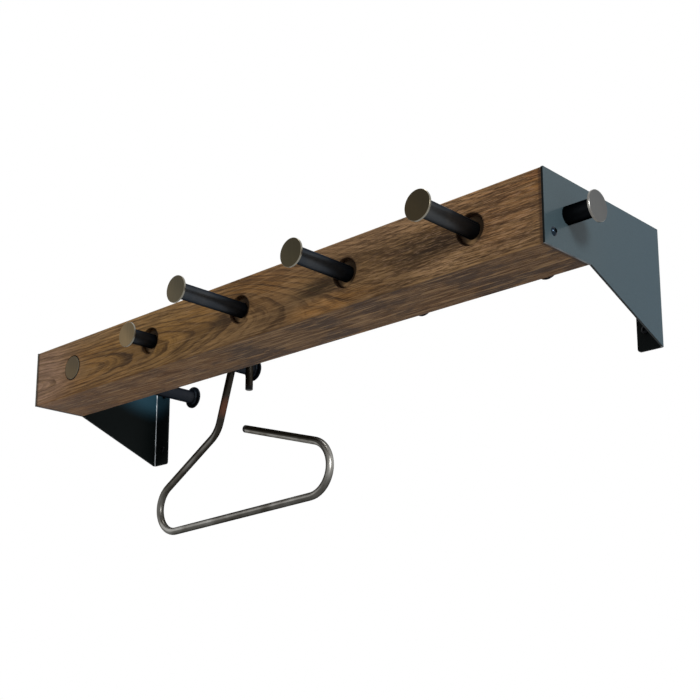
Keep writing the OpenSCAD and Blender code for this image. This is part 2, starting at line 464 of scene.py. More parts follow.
@dataclass(frozen=True)
class Mark:
    """One kind of mark in the wood: noise that shows above a level, as strongly as its share says.

    The waves are counted per millimetre. Right and left are added to the share at that end of the beam.
    """

    waves: Triple
    detail: float
    roughness: float
    seed: float
    low: float
    high: float
    share: float
    right: float = 0.0
    left: float = 0.0
    inverted: bool = False

    def level(self, graph: Graph, at: Socket) -> Socket:
        """Gives the noise that the mark is cut from."""
        return graph.noise(at, self.waves, self.detail, self.roughness, self.seed)

    def shown(self, graph: Graph, at: Socket, ends: tuple[Socket, Socket]) -> Socket:
        """Cuts the mark from its noise.

        Args:
            graph: The graph to build in.
            at: The point in millimetres, or in the grain.
            ends: 1 at the beam's right end and 1 at its left end, where the share may differ.

        Returns:
            How much of the mark shows, 0 to 1.
        """
        right_end, left_end = ends
        level = self.level(graph, at)
        if self.inverted:
            level = 1 - level
        share = right_end * self.right + left_end * self.left + self.share
        return graph.step(level, self.low, self.high) * share


@dataclass(frozen=True)
class OiledWood(Finish):
    """Brown wood. Its year rings arch on the left half of the beam and run straight on the right."""

    front: float = -250.0
    back: float = -158.0
    bottom: float = -14.0
    top: float = 76.0
    recess: float = 20.0
    heart_z: float = 19.0
    heart_depth: float = 45.0
    heart_slant: float = 0.06
    layer_slope: float = 0.85
    straight_from: float = -60.0
    straight_to: float = 420.0
    ring: float = 4.4
    left_end: tuple[float, float] = (-460.0, -240.0)
    right_end: tuple[float, float] = (80.0, 360.0)
    umber_from: tuple[float, float] = (-280.0, 0.0)
    end_shade: tuple[float, float] = (5.5, 2.0)
    pale: Triple = srgb(118, 91, 60)
    golden: Triple = srgb(113, 78, 38)
    grey: Triple = srgb(99, 79, 56)
    deep: Triple = srgb(56, 38, 20)
    pore: Triple = srgb(38, 24, 14)
    stained: Triple = srgb(48, 33, 23)
    worn: Triple = srgb(158, 125, 86)
    bare: Triple = srgb(160, 128, 102)
    russet: Triple = srgb(94, 57, 18)
    umber: Triple = srgb(64, 38, 10)
    recess_wall: Triple = srgb(32, 14, 7)

    band: Mark = Mark(
        (0.006, 0.14, 0.004), detail=2.0, roughness=0.5, seed=5.0, low=0.46, high=0.68,
        share=0.5, right=-0.05,
    )
    streak: Mark = Mark(
        (0.02, 0.42, 0.02), detail=3.0, roughness=0.65, seed=17.0, low=0.48, high=0.62,
        share=0.55, right=-0.25, left=-0.2,
    )
    light: Mark = Mark(
        (0.014, 0.5, 0.5), detail=3.0, roughness=0.6, seed=37.0, low=0.54, high=0.61,
        share=0.27, right=-0.03,
    )
    tick: Mark = Mark(
        (0.02, 0.6, 0.6), detail=3.0, roughness=0.65, seed=29.0, low=0.52, high=0.57,
        share=0.27, right=0.36,
    )
    dash: Mark = Mark(
        (0.085, 0.8, 0.8), detail=2.0, roughness=0.6, seed=71.0, low=0.54, high=0.62,
        share=0.13, right=0.42,
    )
    pale_dash: Mark = Mark(
        (0.085, 0.8, 0.8), detail=2.0, roughness=0.6, seed=71.0, low=0.55, high=0.63,
        share=0.05, right=0.2, inverted=True,
    )

    patches: tuple[Patch, ...] = (
        # Painted shade: a dark patch between pegs 4 and 5.
        Patch(250.0, 40.0, 210.0, 40.0, 0.52, srgb(54, 37, 10), 80.0),
        Patch(270.0, 72.0, 330.0, 30.0, 0.42, srgb(156, 122, 90)),
        Patch(-260.0, 74.0, 330.0, 30.0, 0.3, srgb(154, 126, 92)),
        Patch(-270.0, -2.0, 130.0, 16.0, 0.3, srgb(154, 116, 78), 24.0),
        Patch(350.0, 0.0, 60.0, 14.0, 0.5, srgb(160, 126, 90), 24.0),
        Patch(-190.0, 30.0, 270.0, 90.0, 0.6, srgb(142, 106, 54)),
        Patch(-490.0, 30.0, 130.0, 90.0, 0.9, srgb(151, 121, 99)),
        Patch(450.0, 34.0, 90.0, 60.0, 0.35, srgb(118, 80, 52)),
        # Painted shadows of pegs 5, 3 and 4, to the lower left of their recesses.
        Patch(334.0, 29.0, 92.0, 27.0, 0.9, srgb(38, 27, 10)),
        Patch(-36.0, 22.0, 38.0, 13.0, 0.75, srgb(36, 24, 12)),
        Patch(154.0, 23.0, 68.0, 17.0, 0.9, srgb(44, 32, 9)),
        Patch(175.0, -4.0, 120.0, 20.0, 0.9, srgb(132, 93, 48), 24.0),
        Patch(492.0, 70.0, 16.0, 8.0, 0.6, srgb(150, 92, 38), 12.0),
    )

    def _growth(self, graph: Graph, at: Socket) -> Socket:
        """Works out how far a point has grown from the heart of the log.

        Args:
            graph: The graph to build in.
            at: The point in millimetres.

        Returns:
            The distance in millimetres.
        """
        x, y, z = graph.parts(at)
        slow = graph.noise(at, (0.004, 0.014, 0.014), 1.0, 0.4, 3.0) - 0.5
        quick = graph.noise(at, (0.014, 0.05, 0.05), 2.0, 0.5, 7.0) - 0.5
        depth = y - (self.front + self.heart_depth) - x * self.heart_slant
        rise = z - self.heart_z
        arched = (depth * depth + rise * rise).root()
        drop = self.heart_z - self.bottom
        straight = (depth * depth + drop * drop).root() + (z - self.bottom) * self.layer_slope
        turn = graph.step(x, self.straight_from, self.straight_to)
        return arched + (straight - arched) * turn + slow * 16 + quick * 4

    def _ground(self, graph: Graph, at: Socket) -> Socket:
        """Lays the broad colours: pale, golden and grey patches, and the patches of painted shade and
        painted peg shadows.

        Args:
            graph: The graph to build in.
            at: The point in millimetres.

        Returns:
            The colour.
        """
        broad = graph.noise(at, (0.004, 0.012, 0.012), 2.0, 0.5, 11.0)
        patch = graph.noise(at, (0.006, 0.02, 0.02), 2.0, 0.55, 23.0)
        ground = graph.blend(graph.step(broad, 0.4, 0.66), self.pale, self.golden)
        ground = graph.blend(graph.step(patch, 0.5, 0.75) * 0.7, ground, self.grey)
        for spot in self.patches:
            centre = (spot.x, self.front, spot.z)
            held = graph.near(at, centre, (spot.wide, spot.deep, spot.high))
            ground = graph.blend(held * spot.share, ground, spot.colour)
        return ground

    def _weather(self, graph: Graph, at: Socket, wood: Socket) -> Socket:
        """Darkens and warms the underside, partly as the wood's own tone and partly as painted shade
        under the beam, and adds dark stains and pale flecks, which are strongest there.

        Args:
            graph: The graph to build in.
            at: The point in millimetres.
            wood: The colour so far.

        Returns:
            The colour with them.
        """
        x, _, z = graph.parts(at)
        below = 1 - graph.step(z, self.bottom + 0.5, self.bottom + 3.0)
        rightward = graph.step(x, *self.umber_from)
        stain = graph.noise(at, (0.011, 0.032, 0.032), 4.0, 0.62, 51.0)
        fleck = graph.noise(at, (0.014, 0.22, 0.22), 3.0, 0.65, 57.0)
        warm = graph.blend(rightward, self.russet, self.umber)
        # The underside: the wood's own darker tone, with painted shade under the beam.
        wood = graph.blend(below * 0.45, wood, warm)
        stained = graph.step(stain, 0.45, 0.56) * (below * (rightward * 0.32 + 0.36) + 0.1)
        wood = graph.blend(stained, wood, self.stained)
        return graph.blend(graph.step(fleck, 0.55, 0.62) * (below * 0.24 + 0.16), wood, self.worn)

    def _edge(self, graph: Graph, at: Socket) -> Socket:
        """Finds the beam's four long rounded edges.

        Args:
            graph: The graph to build in.
            at: The point in millimetres.

        Returns:
            1 on an edge and 0 elsewhere.
        """
        _, y, z = graph.parts(at)
        inward = (self.back - self.front) / 2 - abs(y - (self.front + self.back) / 2)
        within = (self.top - self.bottom) / 2 - abs(z - (self.top + self.bottom) / 2)
        return 1 - graph.step(inward + within, 0.9, 1.9)

    def _recesses(self, graph: Graph, at: Socket) -> tuple[Socket, Socket]:
        """Finds the walls and the eased rims of the recesses in the beam's front.

        Args:
            graph: The graph to build in.
            at: The point in millimetres.

        Returns:
            1 on the walls and 0 elsewhere, and a height that falls to 0 towards the rims.
        """
        _, _, radius = Pivot.SLIDING_PEG.circle(graph, at)
        _, y, _ = graph.parts(at)
        walls = 1 - graph.step(radius, self.recess - 0.1, self.recess + 0.2)
        walls = walls * (1 - graph.step(y, self.front + 20, self.front + 24))
        eased = graph.step(radius, self.recess - 0.4, self.recess + 1.4)
        return walls, eased.most(graph.step(y, self.front + 1, self.front + 2))

    def _year_lines(self, graph: Graph, growth: Socket) -> Socket:
        """Draws the dark late wood of each year, which is stronger in some years than in others.

        Args:
            graph: The graph to build in.
            growth: The distance from the heart of the log in millimetres.

        Returns:
            Up to 1 on a line, and 0 between the lines.
        """
        year = growth / self.ring
        late = graph.step(year.fraction(), 0.5, 0.9) * (1 - graph.step(year.fraction(), 0.92, 1.0))
        number = {"W": year.whole()}
        lot = graph.node("ShaderNodeTexWhiteNoise", {"noise_dimensions": "1D"}, number, "Value")
        return late * (lot * 0.75 + 0.25)

    def _cracks(self, graph: Graph, at: Socket) -> Socket:
        """Gives 1 on long thin cracks and 0 elsewhere."""
        crack = graph.noise(at, (0.007, 0.21, 0.21), 2.0, 0.5, 61.0)
        return 1 - graph.step(abs(crack - 0.5), 0.005, 0.025)

    def paint(self, graph: Graph) -> None:
        """Builds the nodes: year rings, marks, cracks, stains, painted shade at the ends and in the
        recesses, and worn edges.

        Args:
            graph: The material's empty graph.
        """
        at = graph.place()
        x, y, z = graph.parts(at)
        growth = self._growth(graph, at)
        grain = graph.node("ShaderNodeCombineXYZ", None, {0: x, 1: growth, 2: y - z})
        right_end = graph.step(x, *self.right_end)
        left_end = 1 - graph.step(x, *self.left_end)
        ends = (right_end, left_end)

        lines = self._year_lines(graph, growth) * (1 - right_end * 0.55) * (1 - left_end * 0.3)
        wood = graph.blend(lines, self._ground(graph, at), self.deep)
        wood = graph.blend(self.band.shown(graph, grain, ends), wood, self.deep)
        wood = graph.blend(self.streak.shown(graph, grain, ends), wood, self.deep)
        wood = graph.blend(self.light.shown(graph, at, ends), wood, self.worn)
        cracks = self._cracks(graph, at) * (right_end * 0.5 + 0.12)
        ticks = self.tick.shown(graph, at, ends).most(cracks)
        wood = graph.blend(ticks, wood, self.pore)
        wood = graph.blend(self.dash.shown(graph, at, ends), wood, self.pore)
        wood = graph.blend(self.pale_dash.shown(graph, at, ends), wood, self.bare)

        wood = self._weather(graph, at, wood)
        rub = graph.step(graph.noise(at, (0.03, 0.1, 0.1), 2.0, 0.6, 41.0), 0.3, 0.6)
        wood = graph.blend(self._edge(graph, at) * rub * (right_end * 0.35 + 0.12), wood, self.worn)
        # Painted shade where the beam's ends meet the plates.
        inner, outer = (BEAM_LENGTH / 2 - inset for inset in self.end_shade)
        wood = graph.blend(graph.step(abs(x), inner, outer) * 0.7, wood, self.pore)
        # Painted shade on the walls of the recesses.
        walls, eased = self._recesses(graph, at)
        wood = graph.blend(walls * 0.75, wood, self.recess_wall)

        coarse = graph.step(self.streak.level(graph, grain), 0.5, 0.8)
        open_grain = coarse * 0.5 + ticks * 1.2 + lines * 0.3
        graph.surface({
            "Base Color": wood,
            "Roughness": open_grain * 0.2 + 0.6,
            "Specular IOR Level": 0.1,
            "Normal": graph.bump(eased * 0.8 - open_grain * 0.24, 1.0),
        })


@dataclass(frozen=True)
class CoatedSteel(Finish):
    """Glossy blue-grey sheet steel. Its inner faces and flange are painted in shade, with a painted
    bluish sheen.
    """

    outer: float = 503.0
    inner: float = 500.0
    flange: float = -3.0
    bloom_at: Triple = (500.0, -10.0, 44.0)
    bloom_reach: Triple = (60.0, 110.0, 46.0)
    wall_fade: tuple[float, float] = (-200.0, 60.0)
    outside: Triple = srgb(53, 66, 71)
    wall_side: Triple = srgb(43, 62, 71)
    edges: Triple = srgb(44, 47, 48)
    inside: Triple = srgb(11, 16, 16)
    sooty: Triple = srgb(6, 9, 9)
    left_front: Triple = srgb(72, 73, 65)
    bloom: Triple = srgb(38, 66, 79)
    scratched: Triple = srgb(14, 20, 24)
    rubbed: Triple = srgb(214, 222, 228)

    def paint(self, graph: Graph) -> None:
        """Builds the nodes: the coat, painted shade and a painted sheen on the inner faces, lit and
        shaded front edges, a painted glint on the fold and the lower edge, and fine scratches.

        Args:
            graph: The material's empty graph.
        """
        at = graph.place()
        x, y, z = graph.parts(at)
        outer = graph.step(abs(x), self.outer - 0.5, self.outer - 0.2)
        cut = graph.step(abs(x), self.inner + 0.1, self.inner + 0.4)
        cloud = graph.noise(at, (0.008, 0.008, 0.008), 3.0, 0.55, 2.0)
        fine = graph.noise(at, (0.6, 0.6, 0.6), 2.0, 0.6, 13.0)
        brushed = graph.noise(at, (0.6, 0.9, 0.02), 2.0, 0.6, 19.0)
        mirrored = graph.node("ShaderNodeCombineXYZ", None, {0: abs(x), 1: y, 2: z})
        # Painted sheen: a bluish reflection high on the inner faces.
        high = graph.near(mirrored, self.bloom_at, self.bloom_reach)
        on_flange = graph.step(y, self.flange - 1.0, self.flange - 0.2)
        # Painted shade on the inner faces, deepest on the flange.
        dark = graph.blend(on_flange, self.inside, self.sooty)
        dark = graph.blend(high * (1 - on_flange * 0.45) * (cloud * 0.4 + 0.8), dark, self.bloom)
        towards_wall = graph.step(y + cloud * 120, *self.wall_fade)
        blue = graph.blend(towards_wall, self.outside, self.wall_side)
        _, backward, upward = graph.parts(graph.node("ShaderNodeTexCoord", output="Normal"))
        front = graph.step(backward * -1, 0.9, 0.97)
        # The front edges: lit on the left plate, in painted shade on the right one.
        front_edge = graph.blend(graph.step(x, -1.0, 1.0), self.left_front, self.sooty)
        edge = graph.blend(front, self.edges, front_edge)
        colour = graph.blend(outer, graph.blend(cut, dark, edge), blue)
        colour = graph.blend(graph.step(fine, 0.4, 0.8) * 0.15, colour, self.scratched)
        # Painted glint along the fold and the lower edge, where the metal is also barer and smoother.
        corner = (self.inner - abs(x)).most(self.flange - y)
        outside = graph.step(y, self.flange + 0.1, self.flange + 0.3)
        fold = (1 - graph.step(corner, 0.8, 1.4)) * (1 - cut) * (1 - outside)
        spared = graph.noise(at, (0.03, 0.03, 0.04), 2.0, 0.5, 33.0)
        lower_edge = graph.step(upward * -1, 0.97, 0.99) * cut * (1 - outer)
        rub = fold.most(lower_edge * 0.18) * (graph.step(spared, 0.35, 0.6) * 0.5 + fine * 0.2 + 0.25)
        graph.surface({
            "Base Color": graph.blend(rub, colour, self.rubbed),
            "Metallic": rub * 0.6,
            "Roughness": cloud * 0.1 + fine * 0.06 - rub * 0.15 + 0.42,
            "Specular IOR Level": 0.05,
            "Coat Weight": outer * (fine * 0.1 + 0.4),
            "Coat Roughness": 0.14,
            "Coat IOR": 1.34,
            "Normal": graph.bump(fine * 0.5 + brushed * 0.5, 0.02, 0.4),
        })


@dataclass(frozen=True)
class BluedSteel(Finish):
    """Dark blued steel, drawn lengthwise, with a slightly worn skin."""

    colour: Triple = srgb(66, 68, 70)
    worn: Triple = srgb(86, 85, 83)
    cold: Triple = srgb(34, 43, 54)
    shaded: Triple = srgb(20, 23, 30)
    run: Run = Run.PEG
    cool_side: tuple[float, float] = (220.0, 380.0)
    root: tuple[float, float] = (-320.0, -250.0)
    roughness: float = 0.3
    darkening: float = 0.0
    cooling: float = 0.0

    def paint(self, graph: Graph) -> None:
        """Builds the nodes: drawing lines, clouds, worn spots, a cooler left and painted shade on the
        root, near the beam.

        Args:
            graph: The material's empty graph.
        """
        at = graph.place()
        lines = graph.noise(at, self.run.waves(0.9, 0.02), 2.0, 0.6, 4.0)
        cloud = graph.noise(at, (0.03, 0.03, 0.03), 3.0, 0.6, 9.0)
        speck = graph.noise(at, (0.8, 0.8, 0.8), 2.0, 0.5, 31.0)
        colour = graph.blend(graph.step(cloud, 0.4, 0.75) * 0.6, self.colour, self.worn)
        colour = graph.blend(graph.step(lines, 0.45, 0.8) * 0.3, colour, self.colour)
        x, y, _ = graph.parts(at)
        cool = (1 - graph.step(x, *self.cool_side)) * self.cooling
        colour = graph.blend(cool, colour, self.cold)
        # Painted shade on the root of the rod, near the beam.
        colour = graph.blend(graph.step(y, *self.root) * self.darkening, colour, self.shaded)
        graph.surface({
            "Base Color": colour,
            "Metallic": 1.0,
            "Specular Tint": (0.3, 0.31, 0.33, 1.0),
            "Roughness": lines * 0.1 + speck * 0.06 + self.roughness,
            "Normal": graph.bump(lines * 0.7 + speck * 0.3, 0.02, 0.5),
        })


@dataclass(frozen=True)
class TurnedDisc(Finish):
    """A disc with a brushed face, a painted shade and a turned rim in painted highlight. Its tone
    differs from peg to peg, painting the reflection each head shows.
    """

    pivot: Pivot = Pivot.SLIDING_PEG
    radius: float = 18.5
    # Tones from left to right: painted reflections, one for each head.
    tones: tuple[Triple, ...] = (
        srgb(82, 68, 44), srgb(116, 98, 69), srgb(78, 71, 54), srgb(60, 54, 38), srgb(54, 46, 31)
    )
    shade: Triple = srgb(40, 37, 28)
    rim: Triple = srgb(100, 93, 78)
    side: Triple = srgb(130, 127, 117)

    def paint(self, graph: Graph) -> None:
        """Builds the nodes: upright brushing, a painted shade towards the top right, and the rim and
        side in painted highlight.

        Args:
            graph: The material's empty graph.
        """
        at = graph.place()
        side, up, radius = self.pivot.circle(graph, at)
        stops = [((n + 0.5) / len(self.tones), tone) for n, tone in enumerate(self.tones)]
        along = graph.parts(at)[0] / BEAM_LENGTH + 0.5
        tone = graph.node("ShaderNodeValToRGB", {"stops": stops}, {0: along})
        lines = graph.noise(at, Run.UPRIGHT.waves(1.6, 0.04), 3.0, 0.6, 6.0)
        cloud = graph.noise(at, (0.05, 0.05, 0.03), 2.0, 0.5, 15.0)
        tone = graph.blend(graph.step(lines, 0.4, 0.75) * 0.25, tone, self.shade)
        # Painted shade towards the top right of the face (towards the top and the back on the end pegs).
        tone = graph.blend(graph.step(side + up + cloud * 20, -4.0, 30.0) * 0.35, tone, self.shade)
        # Painted highlight: the bevelled rim and then the side are lighter all round.
        bright = graph.step(radius, self.radius - 0.55, self.radius - 0.3)
        tone = graph.blend(bright, tone, self.rim)
        tone = graph.blend(graph.step(radius, self.radius - 0.12, self.radius - 0.04), tone, self.side)
        graph.surface({
            "Base Color": tone,
            "Metallic": 1.0,
            "Roughness": lines * 0.1 - bright * 0.1 + 0.36,
            "Normal": graph.bump(lines, 0.02, 0.4),
        })


@dataclass(frozen=True)
class MouldedPlastic(Finish):
    """Moulded plastic with a fine eroded texture. Round a peg it may carry painted shade, but not at the
    bottom.
    """

    colour: Triple = srgb(16, 16, 16)
    dusty: Triple = srgb(26, 25, 24)
    grimy: Triple = srgb(24, 16, 9)
    roughness: float = 0.7
    grime: float = 0.0

    def paint(self, graph: Graph) -> None:
        """Builds the nodes: fine grain, a trace of dust and painted shade round the peg.

        Args:
            graph: The material's empty graph.
        """
        at = graph.place()
        side, up, _ = Pivot.SLIDING_PEG.circle(graph, at)
        grain = graph.noise(at, (2.2, 2.2, 2.2), 2.0, 0.6, 8.0)
        dust = graph.noise(at, (0.12, 0.12, 0.12), 3.0, 0.6, 21.0)
        colour = graph.blend(graph.step(dust, 0.5, 0.8) * 0.6, self.colour, self.dusty)
        # Painted shade round the peg, on all sides but the lit bottom.
        right_and_top = graph.step(up + side * 0.6, -15.0, -5.0)
        left = graph.step(side * -1, 3.0, 13.0)
        graph.surface({
            "Base Color": graph.blend(right_and_top.most(left) * self.grime, colour, self.grimy),
            "Roughness": grain * 0.15 + self.roughness,
            "Specular IOR Level": 0.12,
            "Normal": graph.bump(grain, 0.04, 0.6),
        })


@dataclass(frozen=True)
class BareMetal(Finish):
    """A plain metal skin with clouds and fine scratches, such as zinc or black oxide."""

    colour: Triple = srgb(150, 151, 153)
    stain: Triple = srgb(110, 110, 108)
    roughness: float = 0.3

    def paint(self, graph: Graph) -> None:
        """Builds the nodes: stains and scratches.

        Args:
            graph: The material's empty graph.
        """
        at = graph.place()
        cloud = graph.noise(at, (0.06, 0.06, 0.06), 3.0, 0.6, 12.0)
        scratch = graph.noise(at, Run.PEG.waves(1.4, 0.9), 3.0, 0.65, 27.0)
        graph.surface({
            "Base Color": graph.blend(graph.step(cloud, 0.4, 0.7) * 0.7, self.colour, self.stain),
            "Metallic": 1.0,
            "Roughness": scratch * 0.16 + self.roughness,
            "Normal": graph.bump(scratch, 0.02, 0.5),
        })


@dataclass(frozen=True)
class TubeSteel(Finish):
    """Warm grey tube steel with a darker patina, painted reflection lines and a painted coppery
    reflection of the beam on the stem.
    """

    tint_at: Triple = (-236.0, -70.0, -30.0)
    tint_reach: Triple = (24.0, 24.0, 22.0)
    middle_x: float = -200.0
    low: float = -160.0
    high: float = -120.0
    spot_z: float = -150.0
    bar_top: tuple[float, float] = (-203.0, -186.0)
    shoulder: tuple[float, float] = (-190.0, -70.0)
    stem_side: tuple[float, float] = (-225.0, -195.0)
    hook: tuple[float, float] = (-50.0, -20.0)
    bright: Triple = srgb(162, 161, 157)
    patina: Triple = srgb(100, 97, 91)
    dull: Triple = srgb(38, 36, 31)
    aged: Triple = srgb(42, 38, 33)
    copper: Triple = srgb(116, 70, 50)

    def _rubbed(self, graph: Graph, at: Socket, upper: Socket) -> Socket:
        """Finds the lines along the tube that are left bright: painted reflections.

        They lie outside on the bends, high on the lower bar and under the upper arm. The right bend
        has only one bright spot, a painted highlight.

        Args:
            graph: The graph to build in.
            at: The point in millimetres.
            upper: 1 on the upper part of the hanger and 0 on its lower part.

        Returns:
            1 on them and 0 on the sides of the tube in painted dark reflection.
        """
        x, _, z = graph.parts(at)
        sideways, _, upward = graph.parts(graph.node("ShaderNodeTexCoord", output="Normal"))
        right_half = graph.step(x, self.middle_x - 1.0, self.middle_x + 1.0)
        outward = sideways * (right_half * 2 - 1)
        level = 1 - graph.step(abs(sideways), 0.3, 0.55)
        under_arm = upper * (1 - graph.step(upward, -0.4, -0.15))
        line = graph.step(upward, -0.32, -0.05) * (1 - graph.step(upward, 0.5, 0.85) * 0.7)
        on_bar = line * (1 - graph.step(z, *self.bar_top))
        off_spot = right_half * graph.step(abs(z - self.spot_z), 8.0, 38.0)
        on_bends = graph.step(outward, -0.15, 0.5) * (1 - off_spot)
        return on_bends.most(level * (under_arm + on_bar))

    def paint(self, graph: Graph) -> None:
        """Builds the nodes: patina, painted bright and dark reflection lines, a darker hook and stem,
        and the painted coppery reflection.

        Args:
            graph: The material's empty graph.
        """
        at = graph.place()
        x, _, z = graph.parts(at)
        cloud = graph.noise(at, (0.02, 0.05, 0.02), 3.0, 0.55, 12.0)
        speck = graph.noise(at, (0.9, 0.9, 0.9), 2.0, 0.5, 27.0)
        colour = graph.blend(graph.step(cloud, 0.35, 0.7), self.bright, self.patina)
        upper = graph.step(z, self.low, self.high)
        # Painted reflections: dark along the tube, except on the bright lines.
        painted_dark_side = 1 - self._rubbed(graph, at, upper)
        colour = graph.blend(painted_dark_side * (upper * 0.22 + 0.73), colour, self.dull)
        # Darker on the shoulder and the hook.
        on_shoulder = graph.step(z + cloud * 30, *self.shoulder) * (1 - graph.step(x, *self.stem_side))
        darker_stem_and_hook = on_shoulder.most(graph.step(z, *self.hook))
        colour = graph.blend(darker_stem_and_hook * 0.65, colour, self.aged)
        # Painted reflection of the wooden beam: a coppery patch high on the stem.
        beam_reflection_spot = graph.near(at, self.tint_at, self.tint_reach)
        colour = graph.blend(beam_reflection_spot * 0.42, colour, self.copper)
        graph.surface({
            "Base Color": colour,
            "Metallic": 1.0,
            "Specular Tint": (0.14, 0.14, 0.13, 1.0),
            "Roughness": cloud * 0.1 + speck * 0.04 + 0.27,
            "Normal": graph.bump(speck, 0.01, 0.3),
        })


@dataclass(frozen=True)
class StudioFloor(Finish):
    """A pale matt floor that fades out far from the rack, and that a view from below looks through."""

    colour: Triple = (0.86, 0.86, 0.86)
    cloudy: Triple = (0.78, 0.78, 0.78)
    fade_from: float = 900.0
    fade_to: float = 2300.0
    glow: float = 0.3

    def paint(self, graph: Graph) -> None:
        """Builds the nodes: a pale matt face above, lighter to look at, and nothing below.

        Args:
            graph: The material's empty graph.
        """
        at = graph.place()
        x, y, _ = graph.parts(at)
        cloud = graph.noise(at, (0.002, 0.002, 0.002), 2.0, 0.5, 1.0)
        colour = graph.blend(cloud * 0.1, self.colour, self.cloudy)
        matt = graph.node("ShaderNodeBsdfDiffuse", None, {"Color": colour})
        white = graph.node("ShaderNodeEmission", None, {"Strength": 1.0})
        clear = graph.node("ShaderNodeBsdfTransparent")
        pale = graph.node("ShaderNodeMixShader", None, {0: graph.shown() * self.glow, 1: matt, 2: white})
        below = graph.node("ShaderNodeNewGeometry", output="Backfacing")
        gone = below.most(graph.step((x * x + y * y).root(), self.fade_from, self.fade_to))
        mixed = graph.node("ShaderNodeMixShader", None, {0: gone, 1: pale, 2: clear})
        graph.node("ShaderNodeOutputMaterial", None, {"Surface": mixed})


WOOD = OiledWood("oiled_wood", "beam_wood")
SHEET = CoatedSteel("coated_steel", "bracket_steel")
ROD = BluedSteel("blued_rod", "rod_steel", darkening=0.65, cooling=0.4)
# The end rods get a near-black copy of the blued steel: a painted dark reflection.
END_ROD = BluedSteel("blued_end_rod", "rod_steel", srgb(12, 14, 16), srgb(20, 22, 24), run=Run.BEAM)
HEAD = TurnedDisc("brushed_head", "disc_bronze")
END_HEAD = TurnedDisc(
    "brushed_end_head",
    "disc_steel",
    Pivot.END_PEG,
    tones=(srgb(92, 93, 92), srgb(90, 91, 90)),
    shade=srgb(76, 76, 78),
    rim=srgb(106, 105, 103),
    side=srgb(118, 116, 111),
)
TAIL = BluedSteel("blued_tail", "disc_dark", srgb(24, 28, 33), srgb(38, 42, 46), run=Run.UPRIGHT)
BUSH = MouldedPlastic("bush_brown", "bush_plastic", srgb(118, 92, 62), srgb(92, 69, 44), grime=0.85)
PLUG = MouldedPlastic("plug_black", "plug_plastic", roughness=0.4)
ZINC = BareMetal("zinc_stud", "stud_zinc")
SCREW = BareMetal("black_screw", "screw_black", srgb(30, 39, 48), srgb(14, 17, 21), roughness=0.14)
WALL_SCREW = BareMetal(
    "matt_black_screw", "screw_black", srgb(17, 18, 20), srgb(9, 10, 11), roughness=0.36
)
TUBE = TubeSteel("hanger_tube_steel", "hanger_steel")


@dataclass
class Beam:
    """The squared wooden beam with its plastic guide bushes."""

    def dress(self) -> None:
        """Puts on the wood and the plastic of the bushes."""
        WOOD.dress(["beam"])
        BUSH.dress(f"{end}_bush_{n}" for n in PEG_NUMBERS for end in ("front", "rear"))


@dataclass
class Brackets:
    """The two folded brackets with their screws and studs."""

    def dress(self) -> None:
        """Puts on the coated steel, the black screws and the zinc of the studs."""
        SHEET.dress(f"bracket_{side.word}" for side in Side)
        SCREW.dress(f"plate_screw_{side.word}" for side in Side)
        ZINC.dress(f"end_stud_{side.word}" for side in Side)


@dataclass
class WallScrews:
    """The four black screws that hold the flanges to the wall, in millimetres and degrees."""

    side_x: float = 479.0
    row_z: float = 49.0
    face_y: float = -3.0
    shank: float = 3.0
    head: float = 5.5
    head_height: float = 3.2
    rim: float = 0.6
    chamfer: float = 0.2
    gap: float = 0.05
    key: float = 2.0
    key_rim: float = 2.4
    key_depth: float = 1.8
    facets: int = 48
    dome_rings: int = 6
    dome_turn: float = 13.0
    twist_step: float = 17.0
    crease: float = 35.0

    def _profile(self) -> list[tuple[float, float, bool]]:
        """Lists the rings of a screw from its shank to the floor of its key.

        Returns:
            For each ring its radius, its height over the flange, and whether it is a hexagon.
        """
        wall = self.face_y + self.gap
        rings = [(self.shank, wall, False), (self.shank, 0.0, False)]
        rings += [(self.head - self.chamfer, 0.0, False), (self.head, self.chamfer, False)]
        crown = self.head_height - self.rim
        for ring in range(self.dome_rings):
            angle = math.radians(ring * self.dome_turn)
            rings.append((self.head * math.cos(angle), self.rim + crown * math.sin(angle), False))
        rings.append((self.key_rim, self.head_height, False))
        rings.append((self.key, self.head_height, True))
        rings.append((self.key, self.head_height - self.key_depth, True))
        return rings

    def _build(self, name: str, x: float, z: float, twist: float) -> bpy.types.Object:
        """Makes one screw, its head towards the front.

        Args:
            name: The piece's name.
            x: Where its axis is along the beam.
            z: How high its axis is.
            twist: How far it is turned, in degrees.

        Returns:
            The screw.
        """
        form = bmesh.new()
        rows = []
        for radius, height, hexagon in self._profile():
            row = []
            for step in range(self.facets):
                angle = math.tau * step / self.facets
                lean = angle % (math.pi / 3) - math.pi / 6
                reach = radius / math.cos(lean) if hexagon else radius
                turned = angle + math.radians(twist)
                side = x + reach * math.cos(turned)
                level = z + reach * math.sin(turned)
                row.append(form.verts.new(Vector((side, self.face_y - height, level)) * MM))
            rows.append(row)
        for lower, upper in zip(rows, rows[1:]):
            for step in range(self.facets):
                after = (step + 1) % self.facets
                form.faces.new((lower[step], lower[after], upper[after], upper[step]))
        form.faces.new(rows[0][::-1])
        form.faces.new(rows[-1])
        bmesh.ops.recalc_face_normals(form, faces=form.faces)
        mesh = bpy.data.meshes.new(name)
        form.to_mesh(mesh)
        form.free()
        mesh.shade_smooth()
        mesh.set_sharp_from_angle(angle=math.radians(self.crease))
        screw = bpy.data.objects.new(name, mesh)
        bpy.context.scene.collection.objects.link(screw)
        return screw

    def dress(self) -> None:
        """Makes the four screws and puts them in their holes."""
        places = [(side, level) for side in Side for level in (-1, 1)]
        for number, (side, level) in enumerate(places, 1):
            x = side.value * self.side_x
            screw = self._build(f"wall_screw_{number}", x, level * self.row_z, number * self.twist_step)
            screw.data.materials.append(WALL_SCREW.material())
            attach(screw, "rack")
            LOG.info("%s: %s", screw.name, WALL_SCREW.name)


